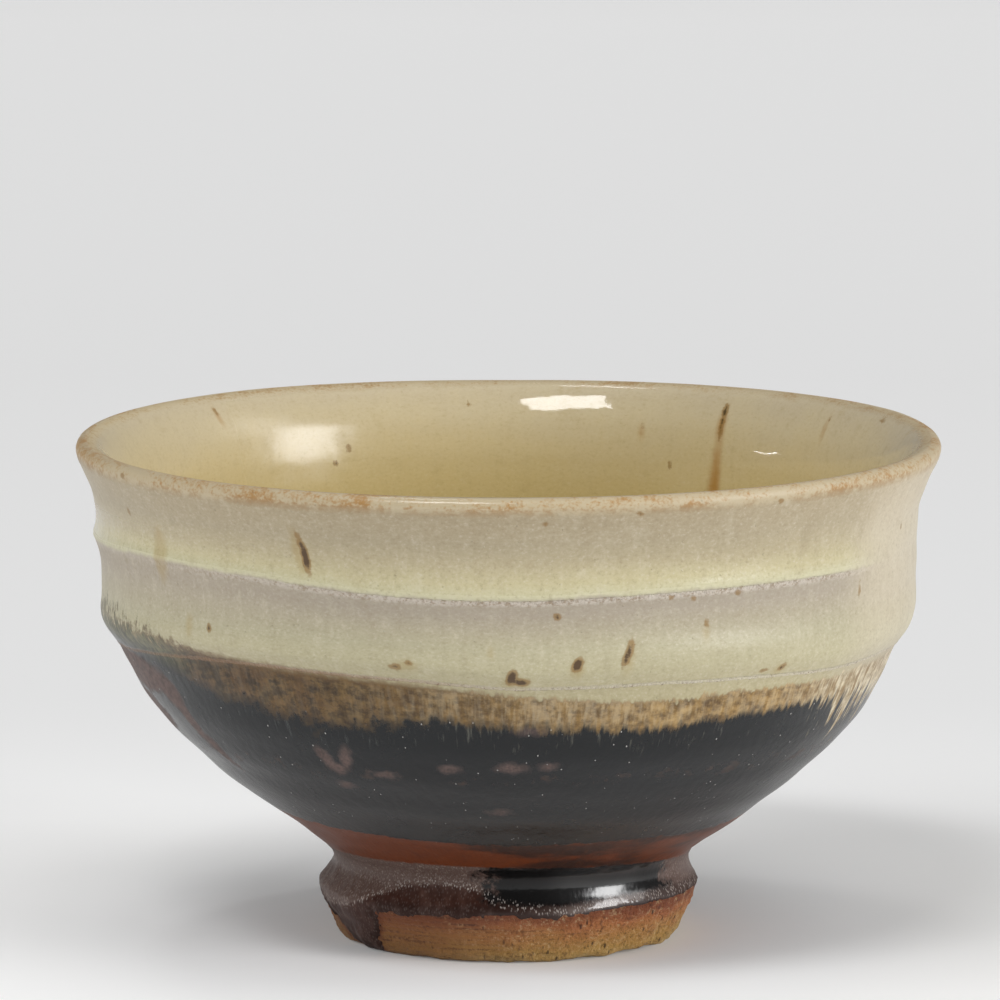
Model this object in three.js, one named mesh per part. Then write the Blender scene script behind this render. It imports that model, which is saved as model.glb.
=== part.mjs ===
// A hand-thrown stoneware tea bowl for whisked green tea, standing on a tall foot ring.
//
// The clay is two pieces, luted together before firing: the thrown bowl, and the foot ring under it. Three coats
// of glaze lie on the clay: a liner of ash glaze inside, the same ash glaze on the upper half outside, and a dark
// iron glaze on the lower half, which also runs over the joint between bowl and foot. The foot below its bead is
// bare clay. Each coat is a thin closed shell that follows the clay, BOND_GAP away from it.
//
// Units are millimetres, +Z is up, and the origin is the middle of the foot's resting face. A profile is a list
// of points (radius, height), and all profiles are revolved about Z and then pushed a little out of true by one
// shared function, so that neighbours keep their distance.

import * as THREE from "three";

// Driving dimensions.
const HEIGHT = 71;
const RIM_RADIUS = 61;
const FOOT_HEIGHT = 11;
const FLOOR_HEIGHT = 18;
const WALL = 5; // glaze to glaze, at the upper wall
const GLAZE = 0.7; // thickness of a coat on the wall
const POOL = 0.5; // how much thicker the liner lies on the floor of the well
const BOND_GAP = 0.3;
const STEPS_AROUND = 60;

// Heights and radii of the outside, glaze included.
const CREASE = { radius: 54.9, height: 42.4 }; // where the wall turns in towards the foot
const RIDGE = { radius: 58.4, height: 57.6 }; // the upper throwing ridge
const NECK_RADIUS = 25.3;
const BEAD = { radius: 26.7, height: 7.3 }; // the widest line of the foot ring
const RESTING_RADIUS = 22.7; // outer edge of the resting face
const RECESS_RADIUS = 16.4; // the hollow inside the foot ring
const LIP_TOP_RADIUS = RIM_RADIUS - 1.5;

const point = (radius, height) => new THREE.Vector2(radius, height);

// A smooth curve through a few points, with one more point halfway between each two of them.
const smooth = (...through) => new THREE.SplineCurve(through).getPoints(2 * (through.length - 1));

// The upper wall, from the crease up over the flared lip to its highest line.
const upperWall = smooth(
  point(CREASE.radius, CREASE.height),
  point(57.4, 47.5),
  point(RIDGE.radius, RIDGE.height),
  point(59.3, 65.6),
  point(RIM_RADIUS, HEIGHT - 1.2),
  point(LIP_TOP_RADIUS, HEIGHT),
);

// The lower wall, from the neck of the foot up to the crease.
const lowerWall = smooth(
  point(BEAD.radius - 0.9, BEAD.height + 1.4),
  point(NECK_RADIUS + 0.1, FOOT_HEIGHT + 0.6),
  point(34.5, 19.4),
  point(46.6, 29.3),
  point(CREASE.radius - 0.6, CREASE.height - 0.9),
);

// The inside, from the highest line of the lip down to the middle of the floor.
const insideWall = smooth(
  point(LIP_TOP_RADIUS - BOND_GAP, HEIGHT),
  point(RIM_RADIUS - 4.4, HEIGHT - 2.5),
  point(RIDGE.radius - WALL, RIDGE.height + 1),
  point(51.6, 45),
  point(42, 31),
  point(24, 21.4),
  point(0, FLOOR_HEIGHT),
);

// Moves each point of a path to its left by a depth, which may change along the path. The middle of the floor and
// the highest line of the lip move straight down.
function inset(path, depthAt) {
  return path.map((here, i) => {
    const before = path[Math.max(i - 1, 0)];
    const after = path[Math.min(i + 1, path.length - 1)];
    const along = after.clone().sub(before).normalize();
    const facesUp = here.x === 0 || here.y === HEIGHT;
    const left = facesUp ? point(0, -1) : point(-along.y, along.x);
    return here.clone().addScaledVector(left, depthAt(here));
  });
}

// The liner thickens from the wall's thickness to the pool's over the lowest part of the well.
function linerThickness({ y: height }) {
  const depth = (FLOOR_HEIGHT + 12 - height) / 12;
  return GLAZE + POOL * THREE.MathUtils.clamp(depth, 0, 1);
}

const coatThickness = () => GLAZE;
const clayUnderCoat = (p) => coatThickness(p) + BOND_GAP;
const clayUnderLiner = (p) => linerThickness(p) + BOND_GAP;

// How far the hand-thrown lines rise above their level, in millimetres, at an angle in degrees about +Z.
const hump = (angle, centre, width) => Math.exp(-(((angle - centre) / width) ** 2));
const creaseRise = (angle) => 2.6 * hump(angle, -123, 34) + 1.2 * hump(angle, -70, 22);
const ridgeRise = (angle) => 1.1 * hump(angle, -135, 15) - 1.4 * hump(angle, -90, 24);

// Pushes one vertex of a revolved piece out of true. The foot and the lip stay level.
function handThrown(vertex) {
  const angle = THREE.MathUtils.radToDeg(Math.atan2(vertex.y, vertex.x));
  const creaseShare = hump(vertex.z, CREASE.height + 1, 8);
  const ridgeShare = hump(vertex.z, RIDGE.height, 5);
  vertex.z += creaseRise(angle) * creaseShare + ridgeRise(angle) * ridgeShare;
  return vertex;
}

// A closed outline (or one that starts and ends on the axis) revolved about Z.
function revolved(name, outline, material) {
  const geometry = new THREE.LatheGeometry(outline, STEPS_AROUND);
  geometry.rotateX(Math.PI / 2);
  const places = geometry.getAttribute("position");
  const vertex = new THREE.Vector3();
  for (let i = 0; i < places.count; i++) {
    vertex.fromBufferAttribute(places, i);
    handThrown(vertex);
    places.setXYZ(i, vertex.x, vertex.y, vertex.z);
  }
  geometry.computeVertexNormals();
  const mesh = new THREE.Mesh(geometry, material);
  mesh.name = name;
  return mesh;
}

// A coat of glaze: its outer face is the path, and its inner face lies one thickness behind.
function coat(name, path, thickness, material) {
  const behind = inset(path, thickness).reverse();
  return revolved(name, [...path, ...behind, path[0]], material);
}

// The thrown bowl: clay under the outside coats, under the lip and under the liner, with a flat underside.
function clayBowl(material) {
  const joint = FOOT_HEIGHT + BOND_GAP;
  const lower = inset(lowerWall, clayUnderCoat).filter((p) => p.y > joint + 0.5);
  const upper = inset(upperWall.slice(1, -1), clayUnderCoat);
  const inside = inset(insideWall.slice(1), clayUnderLiner);
  const seat = NECK_RADIUS - GLAZE - BOND_GAP;
  const lip = point(LIP_TOP_RADIUS, HEIGHT - GLAZE - BOND_GAP - 0.2);
  return revolved("clay_bowl", [point(0, joint), point(seat, joint), ...lower, ...upper, lip, ...inside], material);
}

// The foot ring, with its bead, tapering to the resting face, and hollow in the middle.
function footRing(material) {
  const seat = NECK_RADIUS - GLAZE - BOND_GAP;
  const outline = [
    point(RECESS_RADIUS, FOOT_HEIGHT),
    point(RECESS_RADIUS + 0.3, 2),
    point(RECESS_RADIUS + 1.4, 0),
    point(RESTING_RADIUS, 0),
    point(RESTING_RADIUS + 0.8, 0.6),
    point(BEAD.radius - 1.1, 4),
    point(BEAD.radius, BEAD.height - 0.3),
    point(BEAD.radius - 0.2, BEAD.height + 0.4),
    point(seat + 0.5, BEAD.height + 0.9),
    point(seat, BEAD.height + 1.6),
    point(seat, FOOT_HEIGHT),
    point(RECESS_RADIUS, FOOT_HEIGHT),
  ];
  return revolved("foot_ring", outline, material);
}

const bareClay = new THREE.MeshStandardMaterial({ color: 0x9a6a3c, roughness: 0.85, metalness: 0 });
const ashLiner = new THREE.MeshStandardMaterial({ color: 0xb5a878, roughness: 0.15, metalness: 0 });
const ashCoat = new THREE.MeshStandardMaterial({ color: 0xc4b995, roughness: 0.35, metalness: 0 });
const ironCoat = new THREE.MeshStandardMaterial({ color: 0x2a2725, roughness: 0.3, metalness: 0 });

const bowl = new THREE.Group();
bowl.add(
  clayBowl(bareClay),
  footRing(bareClay),
  coat("ash_glaze_liner", insideWall, linerThickness, ashLiner),
  coat("ash_glaze_outside", upperWall, coatThickness, ashCoat),
  coat("iron_glaze_outside", lowerWall, coatThickness, ironCoat),
);

export default bowl;
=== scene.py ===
import math
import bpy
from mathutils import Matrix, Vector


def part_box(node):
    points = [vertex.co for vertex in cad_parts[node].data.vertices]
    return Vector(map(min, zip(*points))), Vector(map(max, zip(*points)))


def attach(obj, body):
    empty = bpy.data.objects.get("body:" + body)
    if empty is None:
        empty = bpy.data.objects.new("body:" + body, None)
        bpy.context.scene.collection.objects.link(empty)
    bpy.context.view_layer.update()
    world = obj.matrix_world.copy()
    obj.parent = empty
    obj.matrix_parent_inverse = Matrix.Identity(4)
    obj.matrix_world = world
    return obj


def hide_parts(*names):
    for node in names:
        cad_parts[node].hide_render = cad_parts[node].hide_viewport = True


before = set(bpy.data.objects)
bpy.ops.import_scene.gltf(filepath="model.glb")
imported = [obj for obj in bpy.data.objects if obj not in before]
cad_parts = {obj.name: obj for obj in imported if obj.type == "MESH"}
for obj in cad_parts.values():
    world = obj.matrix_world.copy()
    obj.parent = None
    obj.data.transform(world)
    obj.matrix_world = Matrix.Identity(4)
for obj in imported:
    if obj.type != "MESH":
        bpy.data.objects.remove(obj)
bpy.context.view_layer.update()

from types import SimpleNamespace

import bpy
import numpy as np
from mathutils import Vector

# A hand-thrown stoneware tea bowl. Its clay body, foot ring and three coats of glaze are pieces of one
# surface of revolution, which is then pushed out of true as a thrown pot is. Lengths are in millimetres until
# a mesh is made. Angles are degrees about +Z: the front, which faces the camera, is -90, and the bowl's right
# side is 0.

MM = 0.001


def size_mm(node):
    """Half the width, the lowest and the highest level of a CAD node, in millimetres."""
    low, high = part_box(node)
    return (high.x - low.x) / 2 / MM, low.z / MM, high.z / MM


RIM_RADIUS, _, HEIGHT = size_mm("ash_glaze_outside")
BEAD_RADIUS, _, FOOT_TOP = size_mm("foot_ring")
FLOOR = 18.0  # level of the well's floor
CREASE = 42.3  # level of the crease, before it is pushed out of true
RIDGE = 57.5  # level of the upper throwing ridge, likewise
BEAD = 7.4  # level of the foot's widest line
RECESS_RADIUS = 16.5
WALL_RADIUS = 57  # a round number for the wall's radius, which lumps are measured at
LONGEST_PATH = 220  # more than the length of the whole section
COLUMNS = 768  # steps around, a number that halves many times
HIDDEN_COLUMNS = 192  # steps around where glaze covers the clay
SMALLEST_STEP = 0.2  # where a ring's steps get smaller than this, its number of steps halves


# ----------------------------------------------------------------------------
# The section: one path from the middle of the well, over the lip, down to the foot and up into its hollow.

WELL = [
    (0, FLOOR), (12, 18.6), (22, 20.8), (31, 24.2), (38.5, 28.6), (44.6, 34), (49, 40.2), (51.6, 46.4),
    (52.7, 52.5), (53.3, 58), (53.9, 62.4), (54.8, 65.6), (56.2, 68.2), (57.9, HEIGHT - 0.7), (59.6, HEIGHT)]
UPPER_WALL = [
    (59.6, HEIGHT), (60.5, HEIGHT - 0.3), (RIM_RADIUS - 0.05, HEIGHT - 1), (60.8, HEIGHT - 2.3), (60.1, 67.2),
    (59.2, 65.2), (58.5, 63.2), (58.05, 61.2), (57.85, 59.2), (57.75, RIDGE), (57.45, 54.6), (57.25, 51.8),
    (57.4, 48.8), (57.5, 47.2), (57.2, 45.4), (56.3, 43.7), (54.95, CREASE)]
LOWER_WALL = [
    (54.95, CREASE), (53.8, 39.9), (52.4, 37), (50.8, 34.2), (49, 31.8), (45.3, 27.9), (40.9, 23.9),
    (35.4, 19.9), (30.2, 16.2), (27.3, 14.1), (25.7, 12.7), (25.2, 11.5), (25.3, 10.2), (25.8, 8.9),
    (BEAD_RADIUS, BEAD)]
FOOT = [(BEAD_RADIUS, BEAD), (26.3, 5.8), (25.4, 3.9), (24.5, 1.8), (23.8, 0.4), (22.9, 0)]
RESTING_FACE = [(22.8, 0), (20, 0), (17.8, 0)]
RECESS = [(17.8, 0), (17, 0.8), (16.7, 2.5), (RECESS_RADIUS, 6), (16.4, 9.3), (15.8, 10.7), (14.4, 11.3)]
RECESS_CEILING = [(14.4, 11.3), (10, 11.2), (5, 11), (2, 10.7), (0, 10.3)]


def smooth(points, step=0.02):
    """A smooth path through (radius, level) points, as many short straight steps."""
    points = np.array(points, float)
    knots = np.concatenate([[0], np.cumsum(np.hypot(*np.diff(points, axis=0).T))])
    slopes = np.gradient(points, knots, axis=0)
    at = np.linspace(0, knots[-1], int(knots[-1] / step) + 2)
    k = np.clip(np.searchsorted(knots, at, side="right") - 1, 0, len(knots) - 2)
    span = (knots[k + 1] - knots[k])[:, None]
    u = (at - knots[k])[:, None] / span
    return ((1 + 2 * u) * (1 - u) ** 2 * points[k] + u * (1 - u) ** 2 * span * slopes[k]
            + u * u * (3 - 2 * u) * points[k + 1] - u * u * (1 - u) * span * slopes[k + 1])


class Section:
    """The whole path, measured by the length along it from the middle of the well."""

    def __init__(self, *stretches):
        parts = [smooth(points) for points in stretches]
        path = np.concatenate([parts[0]] + [part[1:] for part in parts[1:]])
        self.length = np.concatenate([[0], np.cumsum(np.hypot(*np.diff(path, axis=0).T))])
        self.path = path
        ends = np.cumsum([len(parts[0])] + [len(part) - 1 for part in parts[1:]]) - 1
        self.joints = [float(self.length[end]) for end in ends]

    def at(self, length):
        """Radius, level and the outward normal (radial, upward) at lengths along the path."""
        place = [np.interp(length, self.length, self.path[:, axis]) for axis in (0, 1)]
        reach = 0.25
        before, after = np.maximum(length - reach, 0), np.minimum(length + reach, self.length[-1])
        radii, levels = self.path.T
        outward = np.interp(after, self.length, radii) - np.interp(before, self.length, radii)
        upward = np.interp(after, self.length, levels) - np.interp(before, self.length, levels)
        size = np.hypot(outward, upward)
        return place[0], place[1], -upward / size, outward / size

    def length_at_level(self, level, first, last):
        """The length at which the path, between two lengths, falls to a level."""
        inside = (self.length >= first) & (self.length <= last)
        return np.interp(-np.asarray(level, float), -self.path[inside, 1], self.length[inside])


section = Section(WELL, UPPER_WALL, LOWER_WALL, FOOT, RESTING_FACE, RECESS, RECESS_CEILING)
LIP_AT, CREASE_AT, BEAD_AT, EDGE_AT, RECESS_AT, CEILING_AT, END_AT = section.joints


# ----------------------------------------------------------------------------
# Fields over the bowl: numbers that depend on the angle, the level and the length along the section.


def around(*pairs):
    """A smooth function of the angle that passes through (angle, value) pairs and closes on itself."""
    angles, values = np.array(sorted(pairs), float).T
    fine = np.arange(-180, 180, 1.0)
    table = np.interp(fine, angles, values, period=360)
    kernel = np.hanning(13)
    rounded = np.convolve(np.concatenate([table[-6:], table, table[:6]]), kernel / kernel.sum(), "valid")
    return lambda angle: np.interp(angle, fine, rounded, period=360)


def turn_from(angle, centre):
    """Degrees from a centre angle, the short way round."""
    return (angle - centre + 180) % 360 - 180


def hump(distance, width):
    """1 at no distance, falling smoothly to nothing over about two widths."""
    return np.exp(-((distance / width) ** 2))


def step(value, low, high):
    """0 below low, 1 above high, and smooth between them."""
    t = np.clip((value - low) / (high - low), 0, 1)
    return t * t * (3 - 2 * t)


def lumps(angle, length, across, along, seed):
    """Smooth random lumps from -1 to 1, `across` mm wide at the wall and `along` mm long, closed round the
    bowl."""
    cells = max(4, round(2 * math.pi * WALL_RADIUS / across))
    lattice = np.random.default_rng(seed).uniform(-1, 1, (int(LONGEST_PATH / along) + 3, cells))
    u, v = angle / 360 * cells, length / along
    i, j = np.floor(u).astype(int), np.floor(v).astype(int)
    fu, fv = u - i, v - j
    fu, fv = fu * fu * (3 - 2 * fu), fv * fv * (3 - 2 * fv)
    low = lattice[j, i % cells] * (1 - fu) + lattice[j, (i + 1) % cells] * fu
    high = lattice[j + 1, i % cells] * (1 - fu) + lattice[j + 1, (i + 1) % cells] * fu
    return low * (1 - fv) + high * fv


# How far the crease and the ridge lie above their levels, by angle.
crease_rise = around(
    (-180, -0.3), (-160, 1.0), (-142, 2.5), (-128, 3.1), (-115, 2.9), (-103, 2.6), (-90, 1.7), (-68, 1.9),
    (-54, 1.5), (-37, 0.7), (-20, 0.8), (0, 0.2), (40, -0.4), (110, 0.5))
ridge_rise = around(
    (-180, 0), (-150, 1.2), (-125, 1.1), (-112, 0.1), (-100, -0.4), (-86, -0.5), (-72, 0.0), (-58, 0.1),
    (-44, 0.1), (-32, -0.2), (-10, 0.6), (40, 2.0), (100, 2.2), (150, 1.2))
# How proud the ridge stands, by angle: nothing on the right, and growing round the front to the left.
ridge_height = around(
    (-180, 0.8), (-150, 0.6), (-110, 0.6), (-70, 0.6), (-48, 0.45), (-30, 0.12), (-10, 0), (30, 0),
    (70, 0.4), (110, 0.75), (150, 0.9))
# How rough the glaze in the well is, by angle: satin on the left, where it spreads a soft glow.
well_roughness = around(
    (-180, 0.3), (-150, 0.05), (98, 0.05), (108, 0.18), (130, 0.22), (142, 0.34), (165, 0.4))
# Where the lip is wet and shines, by angle: only in one place at the front.
wet_lip = around((-180, 0), (-112, 0), (-105, 1), (-90, 1), (-84, 0), (0, 0))
# How far the lip waves up, by angle.
lip_rise = around(
    (-180, 0.05), (-135, -0.1), (-90, 0), (-45, -0.1), (0, 0.1), (22, 0.55), (50, 0.4), (90, 0.02),
    (130, 0.4), (155, 0.35))


def outside_share(length):
    """0 inside the bowl and 1 outside, with a smooth change over the lip."""
    return step(length, LIP_AT - 1, LIP_AT + 3)


def rise(angle, level, length):
    """How far a point is raised out of its level. The lip waves, and below it only the outside is raised."""
    lifted = crease_rise(angle) * hump(level - CREASE - 0.5, 7.5)
    lifted = lifted + ridge_rise(angle) * hump(level - RIDGE, 4.5)
    return lifted * (length > LIP_AT) * outside_share(length) + lip_rise(angle) * hump(level - HEIGHT, 6)


def swell(angle, level, length):
    """How far the wall stands out of a true circle."""
    off_centre = 0.22 * np.cos(np.radians(angle - 172)) * hump(level - 52, 10)
    lean = -0.85 * hump(turn_from(angle, 180), 60) * hump(level - 26, 9)
    # The fillet above the foot is fuller on the right and leaner on the left.
    fuller, leaner = 0.85 * hump(turn_from(angle, 5), 55), 0.6 * hump(turn_from(angle, 178), 60)
    fillet = (fuller - leaner) * hump(level - 17, 4.5)
    # On the right the wall runs down straight, and on the left the neck is a little deeper.
    straight = 0.6 * hump(turn_from(angle, 2), 38) * hump(level - 52, 5)
    neck = -0.5 * hump(turn_from(angle, 180), 50) * hump(level - 10.6, 2.2)
    return (off_centre + lean + fillet + straight + neck) * outside_share(length)


def wall_relief(angle, level, length):
    """The outer wall's own relief: the ridge, the rings left by fingers, and slow unevenness."""
    above = level - RIDGE
    ridge = ridge_height(angle) * np.exp(-np.abs(above) / np.where(above > 0, 2.2, 1.5))
    wander = lumps(angle, 0 * length, 60, 50, 11)
    rings = 0.045 * np.sin(2 * math.pi * (level / 5.2 + angle / 360) + wander)
    rings = rings * step(length, LIP_AT + 3, LIP_AT + 8)
    uneven = 0.06 * lumps(angle, length, 26, 9, 12) + 0.025 * lumps(angle, length, 6, 4, 13)
    thread = 0.14 * hump(level - CREASE - 0.4, 0.45) * (length > LIP_AT)
    return ridge * outside_share(length) + rings + uneven * outside_share(length) + thread


# ----------------------------------------------------------------------------
# Meshes: rings of points, joined into closed shells.


def ring_steps(length):
    """How many steps the ring at a length has: fewer by halves where it is small, and 1 on the axis."""
    radius = section.at(length)[0]
    if radius < 0.02:
        return 1
    steps = COLUMNS
    while 2 * math.pi * radius / steps < SMALLEST_STEP and steps > 12:
        steps //= 2
    return steps


class Rings:
    """Collects rings of points. Joins each to the one before, halving or doubling the steps where needed."""

    def __init__(self):
        self.points, self.faces, self.fields, self.count, self.last = [], [], {}, 0, None

    def add(self, points, fields):
        steps = len(points)
        ring = self.count + np.arange(steps)
        self.points.append(points)
        for name, values in fields.items():
            self.fields.setdefault(name, []).append(values)
        if self.last is not None:
            self.join(self.last, ring)
        self.count += steps
        self.last = ring
        return ring

    def join(self, a, b):
        """Faces between two rings. Going round at a growing angle, a lies before b along the section."""
        if len(a) == len(b):
            self.faces.append(np.stack([a, np.roll(a, -1), np.roll(b, -1), b], 1))
        elif len(b) == 1:
            self.triangles(a, np.roll(a, -1), np.full(len(a), b[0]))
        elif len(a) == 1:
            self.triangles(np.full(len(b), a[0]), np.roll(b, -1), b)
        elif len(a) == 2 * len(b):
            start, middle, end = a[0::2], a[1::2], np.roll(a, -2)[0::2]
            self.triangles(start, middle, b)
            self.triangles(middle, end, np.roll(b, -1))
            self.triangles(b, middle, np.roll(b, -1))
        elif len(b) == 2 * len(a):
            start, middle, end = b[0::2], b[1::2], np.roll(b, -2)[0::2]
            self.triangles(a, middle, start)
            self.triangles(np.roll(a, -1), end, middle)
            self.triangles(a, np.roll(a, -1), middle)
        else:
            raise ValueError(f"rings of {len(a)} and {len(b)} steps can't be joined")

    def triangles(self, *corners):
        self.faces.append(np.stack(corners, 1))

    def mesh(self, name):
        """The shell as a mesh in metres, smooth, with its fields as point attributes."""
        mesh = bpy.data.meshes.new(name)
        points = np.concatenate(self.points) * MM
        faces = [tuple(face) for group in self.faces for face in group.tolist()]
        mesh.from_pydata(points.tolist(), [], faces)
        mesh.polygons.foreach_set("use_smooth", np.ones(len(mesh.polygons), bool))
        for field, groups in self.fields.items():
            values = np.concatenate(groups)
            kind = "FLOAT_VECTOR" if values.ndim == 2 else "FLOAT"
            attribute = mesh.attributes.new(field, kind, "POINT")
            key = "vector" if kind == "FLOAT_VECTOR" else "value"
            attribute.data.foreach_set(key, values.astype(np.float32).ravel())
        mesh.update()
        return mesh


def spread(start, end, spacing):
    """Even lengths from start to end, both included, about a spacing apart."""
    return np.linspace(start, end, max(2, round((end - start) / spacing) + 1))


def place(angle, length, relief):
    """Points of the bowl's surface at angles and a length along the section, raised by a relief. None lies
    below the ground."""
    radius, level, out, up = section.at(length)
    turn = np.radians(angle)
    r = radius + out * relief + swell(angle, level, length) * (radius > 1)
    z = level + up * relief + rise(angle, level, length)
    return np.stack([r * np.cos(turn), r * np.sin(turn), np.maximum(z, 0)], 1)


def add_object(name, data):
    obj = bpy.data.objects.new(name, data)
    bpy.context.scene.collection.objects.link(obj)
    return obj


def build(name, rows):
    """A closed piece from rows of (length, steps, relief). Its last row joins its first, unless that is a
    single point on the axis. The relief is a function of the angle and the length."""
    rings = Rings()
    first = None
    for length, steps, relief in rows:
        angle = np.arange(steps) * 360 / steps - 180
        here = np.full(steps, length)
        points = place(angle, here, relief(angle, here))
        ring = rings.add(points, glaze_fields(angle, here, points))
        first = ring if first is None else first
    if len(first) > 1:
        rings.join(ring, first)
    return add_object(name, rings.mesh(name))


def coat(name, lengths, relief, thickness, inner_spacing):
    """A coat of glaze along a stretch of the section. Its inner face, which the clay hides, lies `thickness`
    below the bowl's true surface."""
    def inner_relief(angle, length):
        return 0 * length - thickness

    inner = spread(lengths[0], lengths[-1], inner_spacing)[::-1]
    outer_rows = [(length, ring_steps(length), relief) for length in lengths]
    return build(name, outer_rows + [(length, ring_steps(length), inner_relief) for length in inner])


# ----------------------------------------------------------------------------
# Where the glazes meet, by angle. Heights are true ones, in millimetres above the ground.

fringe_top = around(
    (-180, 48), (-160, 48), (-149, 47.2), (-141, 46.4), (-128, 45.5), (-115, 45.0), (-104, 44.3),
    (-91, 43.3), (-83, 42.5), (-74, 41.7), (-65, 41.8), (-55, 42.1), (-43, 41.9), (-33, 41.8), (-22, 42.6),
    (0, 42.6), (40, 42.2), (110, 43.2), (150, 43.4))
fringe_tip = around(
    (-180, 42.4), (-160, 42.2), (-143, 39.2), (-132, 37.9), (-123, 36.2), (-114, 36.6), (-103, 38.6),
    (-94, 38.0), (-88, 37.4), (-76, 37.2), (-67, 36.4), (-57, 37.4), (-45, 37.6), (-38, 38.2), (-31, 35.2),
    (-20, 34.0), (0, 34.6), (60, 37.6), (110, 38.2))
rust_top = around(
    (-180, 20.4), (-135, 19.6), (-103, 19.0), (-90, 18.6), (-62, 18.8), (-41, 18.4), (0, 19), (90, 20))
pool_top = around(
    (-180, 13.4), (-135, 14.2), (-112, 14.6), (-90, 14.5), (-74, 14.2), (-53, 13.8), (-17, 12.6),
    (90, 13.4))
glaze_edge = around(
    (-180, 6.6), (-168, 5.4), (-160, 2.0), (-152, 0.2), (-142, 0), (-139.5, 1.4), (-137, 4.0),
    (-134.5, 6.0), (-129, 6.8), (-111, 6.9), (-90, 7.3), (-74, 6.9), (-54, 7.7), (-24, 7.5), (20, 6.8),
    (60, 4.6), (95, 7.2), (150, 7.6))
# Pale grains gather along this line: on the left it lies well above the glaze's edge.
grain_line = around(
    (-180, 5.5), (-150, 6), (-135, 8.5), (-124, 10.6), (-112, 11.2), (-101, 10.8), (-92, 8.4), (-74, 7.4),
    (-54, 8.2), (-24, 8.0), (20, 7.4), (60, 6.4), (95, 8.6), (150, 9.4))
# How clearly the crust of grains on the ridge shows.
crusty = around(
    (-180, 0), (-152, 0.05), (-143, 0.15), (-130, 0.5), (-108, 0.9), (-50, 1), (-40, 0.7), (-32, 0.25),
    (-25, 0), (60, 0.2), (105, 0.8), (140, 0.4))
# How furry the fringe's upper boundary is: on the left it follows the crease as a crisp line.
furry = around(
    (-180, 0.5), (-140, 0.2), (-105, 0.15), (-92, 0.8), (-60, 1), (-20, 0.8), (60, 1), (140, 0.8))
# How pale and how amber the fringe is.
fringe_pale = around(
    (-180, 0.1), (-115, 0.05), (-90, 0.35), (-60, 0.3), (-44, 0.3), (-36, 0.9), (-28, 1), (10, 1),
    (60, 0.5), (120, 0.2))
fringe_amber = around(
    (-180, 0.0), (-140, 0.1), (-115, 0.35), (-95, 0.6), (-70, 0.9), (-40, 1), (40, 0.7), (120, 0.4))
# How much the iron glaze climbs through the ash glaze above the crease.
climb = around((-180, 1), (-162, 1), (-152, 0.7), (-143, 0.25), (-136, 0), (100, 0), (150, 0.7))
# How coarse the bare clay is.
grogginess = around((-180, 0.35), (-120, 0.35), (-104, 0.5), (-85, 0.8), (-60, 1), (60, 1), (110, 0.6))
# Where the glaze on the bead is wet and shines, by angle. There a pale film is also painted on its grains, as
# a painted highlight.
wet_bead = around(
    (-180, 0.1), (-90, 0.05), (-78, 0.2), (-71, 1), (-50, 1), (-42, 0.3), (0, 0.2), (120, 0.1))
# How black the pool over the bead is. Where it isn't, the glaze is a matte mauve-brown.
pool_black = around(
    (-180, 0), (-112, 0), (-102, 0.3), (-94, 0.6), (-84, 0.9), (-46, 1), (-38, 0.75), (-28, 0.35),
    (-15, 0.2), (30, 0.1), (80, 0.8), (130, 0.6))

# Iron spots: angle, height, width and length, and for some how they lean, in mm to the right for each mm up.
IRON_SPOTS = [
    (-118.2, 61.9, 1.25, 5.6, -0.25), (-83.5, 54.4, 1, 0.9), (-89.6, 46, 1.5, 2.2, 0.2),
    (-88.4, 45.2, 2.4, 1.1), (-80.7, 47.7, 1.6, 2, 0.25), (-73.8, 49, 1.1, 3.4, 0.3), (-62.2, 52.5, 0.6, 1),
    (-105.6, 47.3, 1.6, 0.8), (-103.7, 47.9, 0.8, 0.6), (-48.6, 45.1, 1.2, 0.9, 0.5),
    (-51.8, 44.9, 1, 0.6, 0.5), (-67.8, 56.5, 0.7, 0.6), (-64.4, 56.1, 0.7, 0.6), (-57.6, 56.4, 0.7, 0.6),
    (-135.4, 50.2, 0.7, 1.2), (-73.1, 68.6, 0.8, 0.6), (-52.8, 68.8, 0.9, 0.6), (-85.4, 67.4, 0.7, 0.6),
    (-153, 64.2, 0.6, 0.9), (-150.5, 69.6, 0.9, 0.7), (-33, 54, 0.5, 1.6), (-20, 61, 0.6, 0.7),
    (24, 52, 0.9, 1.6, 0.1), (33, 63, 0.7, 0.9), (61, 48, 1.2, 1.1), (83, 58, 0.8, 2.4, 0.1),
    (104, 50.5, 1.1, 0.9), (121, 65, 0.7, 0.7), (140, 53, 0.9, 1.4, -0.1), (163, 60, 0.8, 0.8),
]
# Spots inside the bowl, likewise: the long drip on the right, its neighbours, and flecks.
WELL_SPOTS = [
    (55.3, 68.2, 1.1, 1.8), (55.25, 66.2, 0.8, 3.8, 0.02), (138.8, 69.3, 0.6, 1, 0.35),
    (115.8, 62.3, 1, 1.2), (118.3, 60.3, 0.9, 0.9), (68.7, 65.4, 0.5, 0.7), (34.3, 69, 0.5, 0.8),
    (20.5, 70.4, 1.3, 0.5), (63.6, 59.9, 0.6, 1.1), (96, 68, 0.6, 0.8), (-30, 57, 0.9, 1.8),
    (-75, 49, 1.4, 1.4), (-120, 60, 0.8, 2.2), (-160, 52, 1.2, 1), (-100, 38, 1.6, 1.2), (10, 42, 1.1, 1.6),
    (150, 36, 1.4, 1.3),
]
# Ochre stains inside, where iron has only tinted the glaze, likewise.
WELL_STAINS = [
    (55.4, 56.4, 2.2, 20, -0.03), (55.3, 66, 1.8, 5), (138.6, 68.4, 0.9, 2.2, 0.35), (68.8, 64.4, 0.9, 2.2),
    (34.5, 67.4, 0.8, 3), (-30, 54, 2.2, 7), (-120, 57, 2, 7), (-75, 47, 3, 5), (10, 40, 3, 6),
]
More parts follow.
